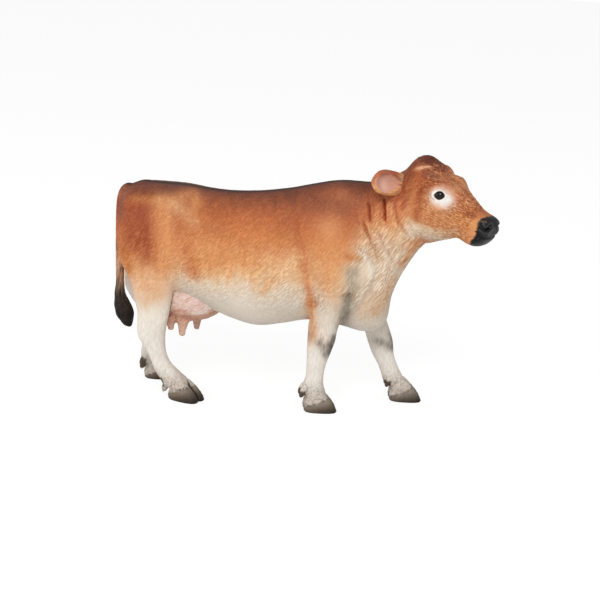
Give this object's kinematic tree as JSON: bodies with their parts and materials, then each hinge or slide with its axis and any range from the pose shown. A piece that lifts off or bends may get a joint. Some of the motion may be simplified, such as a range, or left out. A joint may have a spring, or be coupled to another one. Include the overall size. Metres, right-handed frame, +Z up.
{
  "type": "toy farm animal figure",
  "caption": "Standing dairy cow play figure of moulded, painted soft plastic, with cloven feet, an udder, cupped ears and a hanging tail.",
  "frame": {"origin": "middle of the figure's box, on the ground under the hoof soles", "axes": "+X towards the head, +Y to the animal's left, +Z up"},
  "size_m": [0.127, 0.042, 0.0873],
  "materials": {
    "coat": "satin, painted tan with a darker back and a cream belly over moulded hair",
    "face": "satin, painted tan with a pale ring round the eye and a black muzzle",
    "ear": "satin, painted pinkish brown inside",
    "leg": "satin, painted tan above, cream below, with grey-brown hooves",
    "udder": "smooth satin, painted pale pink",
    "tail": "satin, painted tan with a black switch"
  },
  "bodies": {
    "root": {"torso": "coat", "head": "face", "ear_right": "ear", "ear_left": "ear", "foreleg_right": "leg", "foreleg_left": "leg", "hindleg_right": "leg", "hindleg_left": "leg", "udder": "udder", "tail": "tail"}
  },
  "joints": []
}
